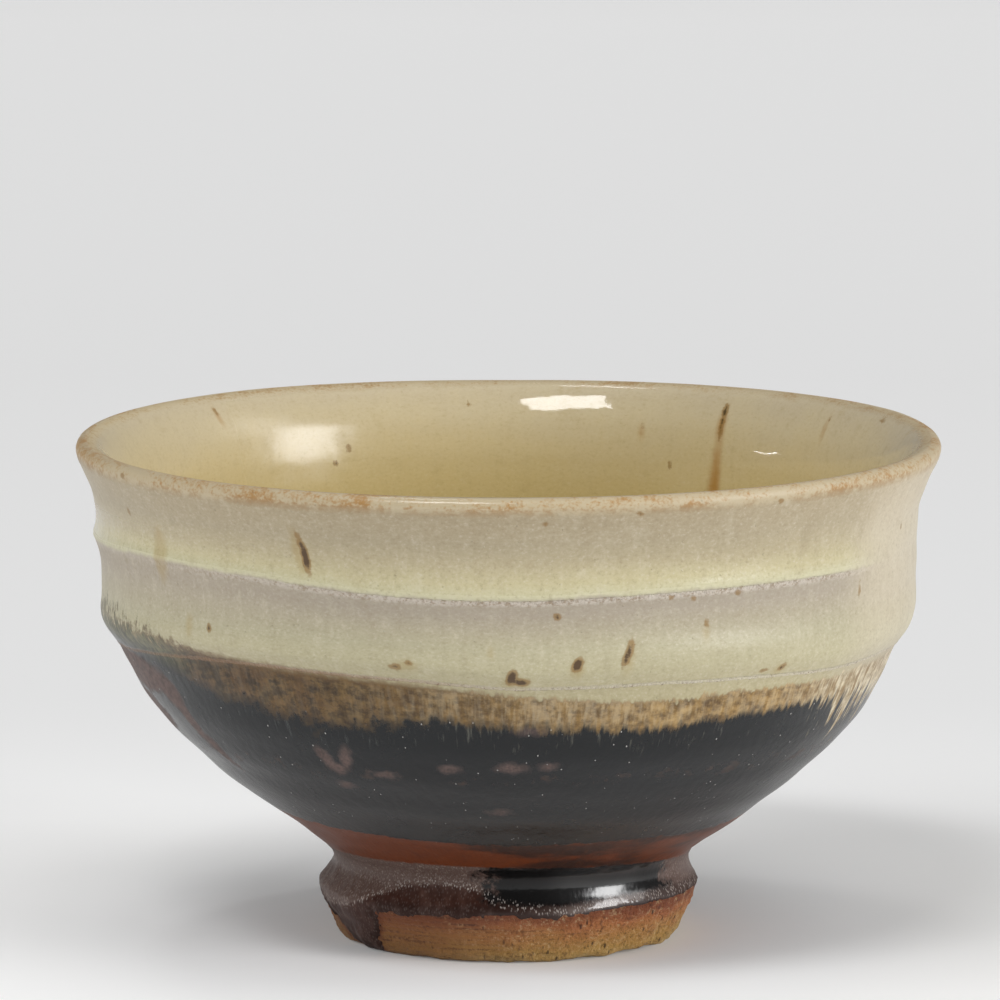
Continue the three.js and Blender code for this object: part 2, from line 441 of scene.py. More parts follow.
# Ochre stains outside, likewise.
STAINS = [
    (-145.2, 59.2, 3.2, 8), (-73.6, 47.6, 1.4, 3.4, 0.2), (-118.9, 62.4, 2.6, 6.6, -0.25),
    (-80.7, 47, 2, 2.6), (-104, 47.4, 3.2, 1.8), (-62.2, 51.2, 1.2, 2.6), (-49, 44.8, 2.4, 1.4, 0.4),
    (-92.5, 49.6, 1, 1.8), (-139.5, 50, 1.4, 3), (-89, 45.2, 3.4, 2), (24, 51, 2, 4), (83, 57, 2.2, 6, 0.1),
    (61, 47, 2.4, 3),
]
# Reddish patches in the iron glaze, likewise.
RUST_PATCHES = [
    (-120.4, 32.3, 2.3, 3.6, -0.35), (-116.9, 32.6, 2.2, 3.8, 0.3), (-118.8, 31, 2.4, 2),
    (-119.3, 28.3, 2.2, 1.1), (-110.6, 30.6, 3.4, 1.1), (-86.6, 38, 3.6, 1.3), (-91.6, 24.8, 2, 0.7),
    (-99.5, 32, 2.6, 1.4), (-89.4, 32.2, 4.4, 1.6), (-84, 32.5, 2.4, 1), (-165, 40.2, 24, 6),
    (-153, 38.6, 6, 5, -0.3), (-150.5, 35, 3, 8, -0.35), (-147.5, 30.6, 2.4, 5, -0.4), (-168, 34, 14, 6),
    (40, 33, 5, 2.5, 0.4), (72, 38, 7, 3), (128, 31, 4, 3, -0.4), (150, 26, 6, 2),
]


def above_glaze_edge(angle, height):
    """Height over the iron glaze's torn lower edge, which leans to the right where it runs down the foot."""
    torn = 2.2 * lumps(angle, height + 5, 2.6, 1.5, 26) + 1.2 * lumps(angle, height + 5, 1.1, 0.7, 27)
    return height - glaze_edge(angle + 1.0 * (np.clip(height, 0, 8) - 5) + torn)


def nearest_mark(marks, angle, height, radius):
    """How deep in a mark each point is, in mm: above 0 inside one, down to -2 outside all."""
    deepest = np.full(angle.shape, -2.0)
    for centre, level, width, length, *lean in marks:
        up = height - level
        side = np.radians(turn_from(angle, centre)) * radius - sum(lean) * up
        reach = np.hypot(side / (width / 2), up / (length / 2))
        deepest = np.maximum(deepest, (1 - reach) * min(width, length) / 2)
    return deepest


PATTERN_RADIUS = RIM_RADIUS - 4  # where the glazes' pattern keeps its size
WELL_PATTERN_RADIUS = 45  # and where it starts to shrink inside the well
WELL_GLOSS = 0.12  # the roughness at the bottom of the well


def glaze_fields(angle, length, points):
    """The point attributes that the glazes are painted from."""
    inside = length[0] < LIP_AT - 0.5
    radius, level, _, _ = section.at(length)
    height = points[:, 2]
    turn = np.radians(angle)
    # Below this radius the pattern shrinks with the radius, so it doesn't pinch at the axis.
    narrow = WELL_PATTERN_RADIUS if inside else RECESS_RADIUS - 2
    wall = PATTERN_RADIUS * np.minimum(1, radius / narrow)
    return {
        "flow": np.stack([wall * np.cos(turn), wall * np.sin(turn), length], 1),
        "level": level,
        "fall": (fringe_top(angle) - height) / (fringe_top(angle) - fringe_tip(angle)),
        "rust": rust_top(angle) - height,
        "pool": pool_top(angle) - height,
        "edge": above_glaze_edge(angle, height),
        "pale": fringe_pale(angle),
        "amber": fringe_amber(angle),
        "furry": furry(angle),
        "satin": WELL_GLOSS + (well_roughness(angle) - WELL_GLOSS) * step(level, 26, 40),
        "wet": np.where(level > CREASE, wet_lip(angle), wet_bead(angle)),
        "groggy": grogginess(angle),
        "crusty": crusty(angle),
        "grains": height - grain_line(angle),
        "climb": climb(angle),
        "black": pool_black(angle),
        "ridge": ridge_height(angle),
        "spot": nearest_mark(WELL_SPOTS if inside else IRON_SPOTS, angle, height, radius),
        "stain": nearest_mark(WELL_STAINS if inside else STAINS, angle, height, radius),
        "patch": nearest_mark(RUST_PATCHES, angle, height, radius),
        "lip": length - LIP_AT,
    }


# ----------------------------------------------------------------------------
# The pieces.

TUCK = 1.4  # how far a coat runs on under its neighbour


def tucked(length, start, end):
    """How far a coat sinks where it runs on under its neighbour, past its own start or end."""
    past = np.maximum(start - length, length - end)
    return -0.35 * step(past, 0, TUCK)


def outside_ash(angle, length):
    return wall_relief(angle, section.at(length)[1], length) + tucked(length, LIP_AT, CREASE_AT)


def iron_coat(angle, length):
    """The iron glaze thins out below its lower edge, where it sinks into the clay of the foot."""
    level = section.at(length)[1]
    relief = wall_relief(angle, level, length) * step(level, 9, 16)
    ragged = 0.25 * lumps(angle, length, 2.2, 1.1, 21) + 0.15 * lumps(angle, length, 0.9, 0.7, 22)
    above_edge = above_glaze_edge(angle, level) + ragged
    bead_drip = 0.35 * hump(turn_from(angle, -142), 9) * step(above_edge, 0, 2) * step(11 - level, 0, 3)
    calm = 1 - 0.85 * pool_black(angle)
    lumpy = (0.15 * lumps(angle, length, 5, 2.4, 23) + 0.08 * lumps(angle, length, 2, 1.2, 24)) * calm
    lumpy = lumpy * step(12 - level, 0, 2.5)
    left_side = 0.35 + 0.65 * step(-turn_from(angle, -100), 0, 25)
    cover = 0.16 * step(above_edge, 0, 0.7) - 0.5 * step(-above_edge, 0, 0.6)
    cover = cover + 0.14 * step(pool_top(angle) - level + 0.3 * lumps(angle, length, 4, 2, 25), 0, 0.5)
    return relief + tucked(length, CREASE_AT, END_AT) + bead_drip + lumpy * left_side + cover


def foot_clay(angle, length):
    """Bare clay: turned lines on the left, coarse and torn on the right, with an uneven lower edge."""
    radius, level, out, up = section.at(length)
    grog = 0.12 * lumps(angle, length, 1.8, 0.8, 31) + 0.1 * lumps(angle, length, 4.4, 1.6, 32)
    coarse = grogginess(angle)
    turned = 0.05 * np.sin(2 * math.pi * length / 0.9 + lumps(angle, 0 * length, 20, 50, 33)) * (1.2 - coarse)
    outer = (length > BEAD_AT - 3) & (length < EDGE_AT + 0.6)
    under_glaze = -0.45 * step(BEAD_AT - 0.2 - length, -0.3, 0.8)
    # Bites out of the lower edge.
    edge = hump(length - EDGE_AT, 1.2)
    bites = -0.15 * step(lumps(angle, 0 * length, 7, 50, 34), 0.1, 0.8) * edge
    bites = bites - 0.4 * hump(turn_from(angle, -38), 7) * edge
    dent = 0.25 * lumps(angle, length, 8, 4, 35)
    return grog * coarse + turned + under_glaze + bites + dent * outer * step(length, BEAD_AT, BEAD_AT + 1.5)


def well_relief(angle, length):
    """Finger rings that wind up from the middle of the well, under a coat that levels them."""
    radius = section.at(length)[0]
    spiral = 0.12 * np.sin(2 * math.pi * (length / 7.5 - angle / 360)) * step(radius, 3, 12)
    faded = spiral * (1 - step(length, LIP_AT - 34, LIP_AT - 18))
    uneven = 0.05 * lumps(angle, length, 30, 14, 41) * step(radius, 4, 20) * (1 - outside_share(length))
    level = section.at(length)[1]
    ripples = 0.022 * np.sin(2 * math.pi * level / 2.6) * hump(turn_from(angle, 60), 30) * hump(level - 62, 5)
    return faded + uneven + ripples + wall_relief(angle, level, length) + tucked(length, 0, LIP_AT)


def clay_relief(angle, length):
    """Under the glaze the clay lies lower. In the hollow of the foot it shows, with a turned spiral."""
    spiral = 0.09 * np.sin(2 * math.pi * (section.at(length)[0] / 1.9 + angle / 360))
    rough = 0.06 * lumps(angle, length, 9, 0.7, 51) + 0.04 * lumps(angle, length, 3, 1.6, 52)
    shows = step(length, CEILING_AT - 1, CEILING_AT + 1)
    centre = step(section.at(length)[0], 0, 2.5)
    return -0.55 * (1 - shows) + (spiral + rough) * shows * centre


def ash_coat():
    """The ash glaze outside, with finer steps near the crease."""
    fine = CREASE_AT - 2
    lengths = np.concatenate([spread(LIP_AT - TUCK, fine, 0.42), spread(fine, CREASE_AT + TUCK, 0.2)[1:]])
    return coat("ash_glaze_coat", lengths, outside_ash, 0.5, 1.8)


def clay_body():
    """The bowl's own clay: a closed body under all three coats, flat where the foot ring joins it."""
    neck = section.length_at_level(FOOT_TOP + 0.3, CREASE_AT, BEAD_AT)
    hidden, shown = spread(0, neck, 2.2), spread(CEILING_AT - 1.5, END_AT, 0.22)
    rows = [(length, min(ring_steps(length), HIDDEN_COLUMNS), clay_relief) for length in hidden]
    return build("clay_body", rows + [(length, ring_steps(length), clay_relief) for length in shown])


def foot_ring():
    """The foot ring: from under the glaze, over the bead, along the resting face and up inside."""
    neck = section.length_at_level(FOOT_TOP, CREASE_AT, BEAD_AT)
    turn = EDGE_AT + 1
    lengths = np.concatenate([spread(neck, turn, 0.2), spread(turn, CEILING_AT + 1, 0.34)[1:]])
    return build("foot_clay", [(length, COLUMNS, foot_clay) for length in lengths])


ash_outside = ash_coat()
iron_outside = coat("iron_glaze_coat", spread(CREASE_AT - TUCK, EDGE_AT - 0.2, 0.5), iron_coat, 0.75, 4.0)
liner = coat("ash_glaze_inside_coat", spread(0, LIP_AT + TUCK, 0.8), well_relief, 0.5, 6.0)
clay = clay_body()
foot = foot_ring()


# ----------------------------------------------------------------------------
# Materials.


STUDIO_SHARE = 0.92  # how much of its display colour a surface keeps, as the studio's light makes up the rest


def tint(red, green, blue):
    """A colour from its display values under the studio's light, 0 to 255, as Blender's linear colour."""
    def linear(value):
        share = value / 255
        return STUDIO_SHARE * (share / 12.92 if share <= 0.04045 else ((share + 0.055) / 1.055) ** 2.4)
    return (linear(red), linear(green), linear(blue), 1.0)


class Field:
    """A number that varies over a surface, with arithmetic that adds nodes to its material."""

    def __init__(self, net, socket):
        self.net, self.socket = net, socket

    def _with(self, operation, *others):
        return self.net.math(operation, self, *others)

    def __add__(self, other):
        return self._with("ADD", other)

    __radd__ = __add__

    def __sub__(self, other):
        return self._with("SUBTRACT", other)

    def __rsub__(self, other):
        return self.net.math("SUBTRACT", other, self)

    def __mul__(self, other):
        return self._with("MULTIPLY", other)

    __rmul__ = __mul__

    def __neg__(self):
        return self._with("MULTIPLY", -1.0)

    def most(self, other):
        return self._with("MAXIMUM", other)

    def step(self, low, high):
        """0 below low, 1 above high, and smooth between them."""
        node = self.net.node("ShaderNodeMapRange", interpolation_type="SMOOTHSTEP")
        self.net.plug(node.inputs[0], self)
        node.inputs[1].default_value, node.inputs[2].default_value = low, high
        return Field(self.net, node.outputs[0])

    def band(self, low, full, fading, gone):
        """1 from full to fading, 0 below low and above gone, and smooth between them."""
        return self.step(low, full) * (1 - self.step(fading, gone))


class Net:
    """One material's nodes."""

    def __init__(self, name):
        self.material = bpy.data.materials.new(name)
        self.material.use_nodes = True
        self.tree = self.material.node_tree
        self.shader = self.tree.nodes["Principled BSDF"]
        self.flow = self.attribute("flow", vector=True)

    def node(self, kind, **settings):
        node = self.tree.nodes.new(kind)
        for name, value in settings.items():
            setattr(node, name, value)
        return node

    def plug(self, socket, value):
        """Links a field or an output to a socket, or sets the socket to a number or a display colour."""
        value = value.socket if isinstance(value, Field) else value
        if isinstance(value, bpy.types.NodeSocket):
            self.tree.links.new(value, socket)
        else:
            socket.default_value = tint(*value) if isinstance(value, tuple) else value

    def math(self, operation, *values):
        node = self.node("ShaderNodeMath", operation=operation)
        for socket, value in zip(node.inputs, values):
            self.plug(socket, value)
        return Field(self, node.outputs[0])

    def attribute(self, name, vector=False):
        node = self.node("ShaderNodeAttribute", attribute_name=name)
        return node.outputs["Vector"] if vector else Field(self, node.outputs["Fac"])

    def stretched(self, across, along, shift):
        """The flow coordinates, in units of `across` mm round the bowl and `along` mm down it, and moved."""
        node = self.node("ShaderNodeVectorMath", operation="MULTIPLY_ADD")
        self.plug(node.inputs[0], self.flow)
        node.inputs[1].default_value = (1 / across, 1 / across, 1 / along)
        node.inputs[2].default_value = (shift * 7.1, shift * 3.3, shift * 5.7)
        return node.outputs[0]

    def noise(self, across, along=None, detail=2.0, shift=0.0, roughness=0.5):
        """Noise about 0, mostly between -0.5 and 0.5, with lumps of a size in mm."""
        node = self.node("ShaderNodeTexNoise")
        self.plug(node.inputs["Vector"], self.stretched(across, along or across, shift))
        node.inputs["Scale"].default_value = 1.0
        node.inputs["Detail"].default_value = detail
        node.inputs["Roughness"].default_value = roughness
        return Field(self, node.outputs["Fac"]) - 0.5

    def grains(self, size, shift=0.0):
        """Distance to the nearest of scattered grains, 0 at its middle, with grains `size` mm apart."""
        node = self.node("ShaderNodeTexVoronoi")
        self.plug(node.inputs["Vector"], self.stretched(size, size, shift))
        node.inputs["Scale"].default_value = 1.0
        return Field(self, node.outputs["Distance"])

    def ramp(self, field, *stops):
        """A colour that changes with a field, through (value, colour) stops."""
        low, high = stops[0][0], stops[-1][0]
        scaled = self.node("ShaderNodeMapRange")
        self.plug(scaled.inputs[0], field)
        scaled.inputs[1].default_value, scaled.inputs[2].default_value = low, high
        node = self.node("ShaderNodeValToRGB")
        node.color_ramp.interpolation = "LINEAR"
        elements = node.color_ramp.elements
        while len(elements) < len(stops):
            elements.new(0.5)
        for element, (value, colour) in zip(elements, stops):
            element.position = (value - low) / (high - low)
            element.color = tint(*colour)
        self.plug(node.inputs[0], scaled.outputs[0])
        return node.outputs[0]

    def mix(self, share, first, second):
        node = self.node("ShaderNodeMix", data_type="RGBA")
        self.plug(node.inputs[0], share)
        self.plug(node.inputs[6], first)
        self.plug(node.inputs[7], second)
        return node.outputs[2]

    def layers(self, colour, *coats):
        """A colour with others laid over it in turn, each (share, colour)."""
        for share, over in coats:
            colour = self.mix(share, colour, over)
        return colour

    def surface(self, **values):
        """Sets the shader's inputs, named with _ for a space, to fields, outputs, colours or numbers."""
        for name, value in values.items():
            self.plug(self.shader.inputs[name.replace("_", " ")], value)

    def bump(self, height, distance):
        """A fine relief: height 1 stands `distance` mm proud."""
        node = self.node("ShaderNodeBump")
        node.inputs["Distance"].default_value = distance * MM
        self.plug(node.inputs["Height"], height)
        self.surface(Normal=node.outputs[0])


def shared_fields(net):
    """What several parts of the outside glaze are painted from. The functions below add to it."""
    level = net.attribute("level")
    grain = net.noise(0.4, shift=4)
    mottle = net.noise(1.5, 1.2, detail=4, shift=2, roughness=0.6)
    return SimpleNamespace(
        level=level, grain=grain, mottle=mottle,
        streaks=net.noise(1.6, 9, detail=3, shift=1),
        clouds=net.noise(9, 5, detail=3, shift=3),
        speckle=net.noise(0.55, 0.45, detail=4, shift=19, roughness=0.7),
        clots=net.noise(3.5, 2.2, detail=4, shift=7, roughness=0.6),
        big_clots=net.noise(4.5, 3, detail=4, shift=20, roughness=0.6),
        ridge_share=net.attribute("ridge").step(0.05, 0.3),
        above_crease=level - CREASE - 0.1 + grain * 0.5 + mottle * 0.4,
        wet=net.attribute("wet"), furry=net.attribute("furry"), pale=net.attribute("pale"))


def ash_colour(net, f):
    """The ash glaze, from the lip down to the crease."""
    # Where the ridge stands proud, this ramp is lightest on the ridge and the fillet just above it, and
    # darker just below it. This is partly the glaze's own colour, partly painted light on the fillet and
    # painted shade under the overhang.
    ridged_with_painted_shading = net.ramp(
        f.level + f.streaks * 0.8 + f.clouds * 1.2,
        (CREASE, (190, 180, 144)), (45.5, (194, 186, 151)), (49, (188, 181, 151)), (52.5, (181, 171, 147)),
        (55, (176, 164, 146)), (56.9, (180, 168, 150)), (RIDGE, (208, 203, 168)), (59.2, (202, 192, 152)),
        (61.5, (189, 176, 142)), (64.5, (180, 166, 137)), (67.8, (180, 164, 134)))
    plain = net.ramp(
        f.level + f.streaks * 1.4 + f.clouds * 2,
        (CREASE, (198, 187, 158)), (46, (204, 194, 165)), (52, (203, 191, 166)), (60, (206, 194, 169)),
        (67.8, (200, 185, 157)))
    return net.layers(
        net.mix(f.ridge_share, plain, ridged_with_painted_shading),
        ((f.streaks * 0.8 + f.mottle).step(0, 0.4) * 0.3, (156, 140, 108)),
        ((-f.streaks * 0.8 - f.mottle).step(0, 0.4) * 0.3, (222, 214, 190)),
        (f.speckle.step(0, 0.26) * 0.42, (146, 130, 100)),
        ((-f.speckle).step(0, 0.26) * 0.36, (228, 221, 202)),
        *ridge_layers(net, f), *lip_layers(net, f), *mark_layers(net, f))


def ridge_layers(net, f):
    """Thin crusts of pale grains on the upper ridge and on the crease, and below the ridge a pale violet grey
    that is partly the glaze's colour and partly painted shade of the ridge's overhang.
    """
    crusty = net.attribute("crusty")
    under = RIDGE - 0.35 + f.grain * 0.35 + f.mottle * 0.3 - f.level
    f.crust = under.band(0, 0.16, 0.45, 1.2) * crusty
    # Painted shade in part: the band just under the proud ridge, in its overhang's shade, is laid on in a
    # pale violet grey.
    below = 1 - (under + f.clouds * 3 + f.mottle * 1.2).step(0.6, 4.6)
    f.lavender = under.step(0.4, 1) * below * f.ridge_share
    crust_colour = net.mix((f.speckle + f.mottle * 0.5).step(-0.06, 0.16), (220, 210, 198), (156, 134, 112))
    f.thread = f.above_crease.band(0, 0.15, 0.35, 0.6)
    thread_colour = net.mix((f.grain + f.mottle * 0.6).step(0.04, 0.24), (226, 218, 204), (140, 118, 98))
    return [
        (f.lavender * (0.02 + crusty * 0.36), (164, 154, 138)),
        (f.crust * 0.62, crust_colour),
        (f.thread * (0.35 + (f.grain + f.mottle).step(-0.1, 0.2) * 0.4), thread_colour)]


def lip_layers(net, f):
    """The lip: tan, with rusty grains along its lower side."""
    lip = net.attribute("lip")
    f.lip_share = 1 - (lip + f.grain * 1.4 + f.clouds).step(2.3, 3.3)
    rusty = (f.clouds * 1.3 + f.grain * 1.1 + f.mottle * 0.9).step(-0.15, 0.4)
    edge = lip + f.grain * 0.8 + f.mottle * 0.8
    under_lip = edge.band(2, 2.6, 3, 3.7) * (f.mottle + f.clouds).step(-0.25, 0.25)
    return [
        (f.lip_share * 0.88, net.mix(rusty, (198, 182, 150), (176, 132, 74))),
        (under_lip * 0.5, (156, 122, 76))]


def mark_layers(net, f):
    """Ochre stains, and iron spots with dark middles."""
    stain = (net.attribute("stain") + f.streaks * 0.9 + f.mottle * 0.5).step(-0.45, 0.7)
    spot = net.attribute("spot") + f.mottle * 0.75
    f.spot_core = spot.step(0.08, 0.34)
    return [
        (stain * 0.42, (172, 146, 86)), (spot.step(-0.22, 0.04) * 0.75, (146, 112, 58)),
        (f.spot_core * 0.9, (74, 50, 24))]


def iron_colour(net, f):
    """The iron glaze, from the crease down: black, with rust blotches, mauve patches and pinpoint stars."""
    f.climb = net.attribute("climb")
    black = net.ramp(
        f.level + f.clouds * 8,
        (12, (22, 18, 16)), (22, (20, 19, 18)), (30, (20, 21, 23)), (38, (20, 23, 26)))
    blotch = f.clots + (f.level - 30).step(-2.5, 0) * 0.28 - (f.level - 30.6).step(0, 2.5) * 0.28
    f.blotch_share = (blotch + f.mottle * 0.3).step(0.3, 0.5) * 0.55
    f.patch_share = (net.attribute("patch") + f.mottle * 1.2 + f.clots * 1.2).step(-0.45, 0.6)
    patch_colour = net.mix((f.mottle + f.grain * 0.7).step(-0.2, 0.25), (124, 101, 94), (88, 72, 67))
    strength = 0.62 + f.climb * 0.06 + f.speckle.step(-0.3, 0.1) * 0.15
    f.star_share = 1 - net.grains(1.8, shift=10).step(0.055, 0.085)
    black = net.layers(
        black, (f.blotch_share, (78, 58, 48)), (f.patch_share * strength, patch_colour),
        (f.star_share * 0.8, (190, 188, 184)))
    f.smudges = net.noise(24, 4, detail=4, shift=27, roughness=0.6)
    f.rust_share = (net.attribute("rust") + f.clots + f.mottle * 0.5).step(-0.1, 0.25)
    return pooled_colour(net, f, net.mix(f.rust_share, black, rust_colour(net, f)))


def rust_colour(net, f):
    """The rusty neck, with dark smudges along it."""
    smudged = (f.smudges * 1.6 + f.clots * 0.3 + net.attribute("black") * 0.4).step(0.16, 0.5)
    return net.layers(
        (104, 46, 8), (smudged * 0.85, (28, 16, 10)),
        ((f.mottle + f.clots * 0.8).step(0, 0.4) * 0.4, (124, 66, 30)),
        ((-f.mottle - f.clots * 0.8).step(0, 0.4) * 0.4, (64, 32, 20)))


def pooled_colour(net, f, above):
    """Over the bead the iron glaze pools: black in places, matte elsewhere, with pale grains at its edge, and
    a pale film, partly a painted highlight, where it shines.
    """
    f.pool_share = (net.attribute("pool") + f.clots * 0.7 + f.grain * 0.4).step(0, 0.3)
    speckles = net.noise(0.5, 0.35, detail=3, shift=11).step(0.02, 0.3)
    black_field = net.attribute("black") + f.smudges * 0.9 + f.clots * 0.8 + f.mottle * 0.3
    f.black_pool = black_field.step(0.35, 0.6)
    above_grains = net.attribute("grains") + f.clots * 0.6 + f.grain * 0.6
    strip = net.mix((f.clots + f.mottle * 0.5).step(-0.1, 0.3), (58, 28, 17), (84, 56, 46))
    matte = net.mix(above_grains.step(-0.2, 0.3), strip, net.mix(speckles, (92, 71, 63), (172, 156, 146)))
    f.at_edge = 1 - (net.attribute("edge") + f.grain * 0.8 + f.mottle * 0.8).step(0.9, 1.9)
    thin_field = f.clots + f.speckle * 0.7 + 0.1 - net.attribute("groggy") * 0.25
    thin = net.mix(thin_field.step(-0.1, 0.3), (46, 22, 13), (82, 62, 56))
    frost_and_painted_sheen = above_grains.band(-0.5, 0, 0.3, 1.3) * f.pool_share
    near_grain = 1 - net.grains(0.6, shift=13).step(0.2, 0.42)
    f.frost_share = near_grain * (frost_and_painted_sheen + (1 - f.black_pool) * f.pool_share * 0.12)
    # The pale film laid on the grains where the bead shines is partly crystals and partly a painted
    # highlight.
    return net.layers(
        above, (f.pool_share, net.mix(f.black_pool, matte, (5, 3, 3))), (f.at_edge * 0.92, thin),
        (frost_and_painted_sheen * f.wet * 0.4, (150, 130, 120)), (f.frost_share * 0.8, (196, 184, 176)))


def fringe_colour(net, f, ash, iron):
    """The ash glaze runs down into the iron glaze in a fringe, furry on the right and clotted on the left."""
    fall, pale, furry, climb = net.attribute("fall"), f.pale, f.furry, f.climb
    teeth = net.noise(1.1, 4, detail=3, shift=14, roughness=0.6)
    hairs = net.noise(0.45, 2.4, shift=15)
    curds = net.noise(1.9, 1.1, detail=4, shift=18, roughness=0.65)
    climbing = climb * (net.noise(0.8, 2.2, detail=4, shift=16, roughness=0.65) + curds * 0.4)
    top = fall + (teeth * 0.5 + hairs * 0.2 + curds * 0.25) * furry + climbing * 1.7 + curds * 0.12
    long_streaks = net.noise(1.2, 9, shift=26) * pale * pale * 2.6
    ragged = teeth * (0.2 + furry * 0.6) + hairs * 0.25 * furry
    run = fall + ragged + (f.big_clots + curds * 0.6) * (1 - furry) * 1.1 + long_streaks

    # From dark brown clots to amber fur, sandy where the fringe is pale, and teal where the iron climbs.
    clotted = (f.big_clots + curds * 1.1 + f.speckle * 0.3).step(-0.14, 0.36)
    curdled = (curds * 1.3 + hairs * 0.15 + f.speckle * 0.3).step(-0.3, 0.3)
    brown = net.mix(
        net.attribute("amber"), net.mix(clotted, (22, 17, 16), (122, 82, 38)),
        net.mix(curdled, (78, 52, 24), (188, 148, 78)))
    dark_clots = (f.big_clots + curds * 0.9 + f.mottle * 0.4).step(-0.06, 0.24)
    dark_clots = dark_clots * (1 - furry * 0.75) * (1 - pale)
    sandy = net.mix((teeth + hairs * 0.7 + curds * 0.7).step(-0.25, 0.3), (150, 124, 84), (234, 224, 196))
    teal = net.mix((hairs + curds).step(-0.2, 0.3), (64, 64, 46), (122, 118, 86))
    teal = net.mix((fall + curds * 0.5).step(0.3, 0.8), teal, (24, 26, 25))
    brown = net.layers(
        brown, (dark_clots * 0.8, (34, 24, 22)), (pale * 0.85, sandy), (climb.step(0.15, 0.6), teal))

    # Its upper edge, its lower edge, the line that it leaves on the crease, and the pale tips of its hairs.
    upper_share = top.step(-0.06, 0.06) * (1 - climb) + (top + climbing * 0.5).step(-0.35, 0.3) * climb
    seam = top.band(-0.12, -0.02, 0.02, 0.14) * (1 - furry)
    edge_line = f.above_crease.band(-0.1, 0.1, 0.3, 0.6) * (1 - furry)
    tips = run.band(0.72, 0.95, 1.05, 1.5)
    tips = tips * (-hairs - teeth * 0.5 + curds * 0.3).step(0.08, 0.32)
    f.glassy = run.step(0.3, 1)
    return net.layers(
        ash, (upper_share, brown), (seam * 0.6, (118, 88, 50)), (run.step(0.62, 0.96), iron),
        (edge_line * 0.6, (164, 132, 104)),
        (tips * (0.3 + pale * 0.5), net.mix(pale, (88, 96, 96), (178, 168, 140))))


def outside_finish(net, f):
    """The ash glaze is satin, and glossier where it pools above the ridge and at the lip. The iron glaze is
    glossier still, apart from its rust, its patches and its matte pool."""
    matte_pool = (1 - f.black_pool) * f.pool_share
    pooled = (f.level - RIDGE).band(-0.2, 0.8, 3.5, 7) * f.ridge_share
    wet_lip = f.lip_share * (f.wet * 0.28 - 0.08)
    ash_rough = 0.4 - pooled * 0.21 - wet_lip + f.lavender * 0.12 + f.clouds * 0.1
    iron_rough = 0.26 + f.blotch_share * 0.2 + f.patch_share * 0.3 + f.clouds * 0.1
    iron_rough = iron_rough - f.pool_share * f.black_pool * 0.06 + f.frost_share * 0.2 + f.at_edge * 0.25
    iron_rough = iron_rough + matte_pool * 0.2 + f.rust_share * (1 - f.pool_share) * 0.12
    rough = ash_rough + (iron_rough - ash_rough) * f.glassy
    net.surface(Roughness=rough.most(0.08), Coat_Weight=f.pool_share * f.black_pool * f.glassy * f.wet)
    relief = net.noise(1.6, shift=17) * 0.5 + f.grain * 0.16 * (1 - f.glassy)
    relief = relief - f.spot_core * 0.3 - f.star_share * 0.5 + f.frost_share * 0.6
    relief = relief + f.thread * (0.6 + f.grain * 2) + f.crust * (0.5 + f.grain * 2)
    net.bump(relief, 0.14)


def outside_glaze(name, refraction):
    """Ash glaze above, iron glaze below, and the streaked fringe where one runs into the other."""
    net = Net(name)
    fields = shared_fields(net)
    ash, iron_glass = ash_colour(net, fields), iron_colour(net, fields)
    net.surface(
        Base_Color=fringe_colour(net, fields, ash, iron_glass), IOR=refraction, Coat_Roughness=0.13)
    outside_finish(net, fields)
    return net.material


def liner_glaze(name):
    """The ash glaze inside: tan at the lip, deeper olive-amber and glassier down the well."""
    net = Net(name)
    streaks = net.noise(2, 12, detail=3, shift=21)
    clouds = net.noise(12, 7, detail=3, shift=3)
    grain = net.noise(0.4, shift=4)
    mottle = net.noise(2.2, 1.1, detail=4, shift=23, roughness=0.65)
    speckle = net.noise(0.6, 0.4, detail=4, shift=24, roughness=0.7)
    ash = net.ramp(
        net.attribute("level") + streaks * 2 + clouds * 5 + mottle * 2,
        (FLOOR, (144, 122, 66)), (21, (164, 140, 80)), (30, (188, 166, 104)), (45, (202, 181, 118)),
        (57, (206, 186, 132)), (62, (210, 192, 146)), (67, (206, 191, 155)), (70, (202, 188, 158)))
    band = (net.attribute("lip") + grain + clouds * 1.2 + mottle * 1.6).step(-2.4, -0.6)
    rusty = (clouds * 1.3 + grain * 1.1 + mottle * 0.9).step(-0.1, 0.4)
    stain = (net.attribute("stain") + streaks * 0.9 + mottle * 0.5).step(-0.5, 1)
    spot = net.attribute("spot") + mottle * 0.5 + grain * 0.4
    ash = net.layers(
        ash,
        ((streaks + mottle * 1.2).step(0, 0.45) * 0.25, (172, 148, 88)),
        (speckle.step(0, 0.3) * 0.3, (158, 134, 80)),
        ((-speckle).step(0, 0.3) * 0.3, (222, 212, 176)),
        (band * 0.8, net.mix(rusty, (192, 174, 138), (164, 126, 74))),
        (stain * 0.85, (170, 120, 44)),
        (spot.step(-0.18, 0.06) * 0.7, (146, 112, 56)),
        (spot.step(0.1, 0.32) * 0.85, (70, 54, 26)))
    rough = net.attribute("satin") + band * (0.4 - net.attribute("wet") * 0.3) + clouds * 0.04
    net.surface(Base_Color=ash, Roughness=rough.most(0.03), IOR=1.5)
    net.bump(net.noise(3, detail=1, shift=17) * 0.5 + grain * 0.04 + band * grain * 0.2, 0.1)
    return net.material


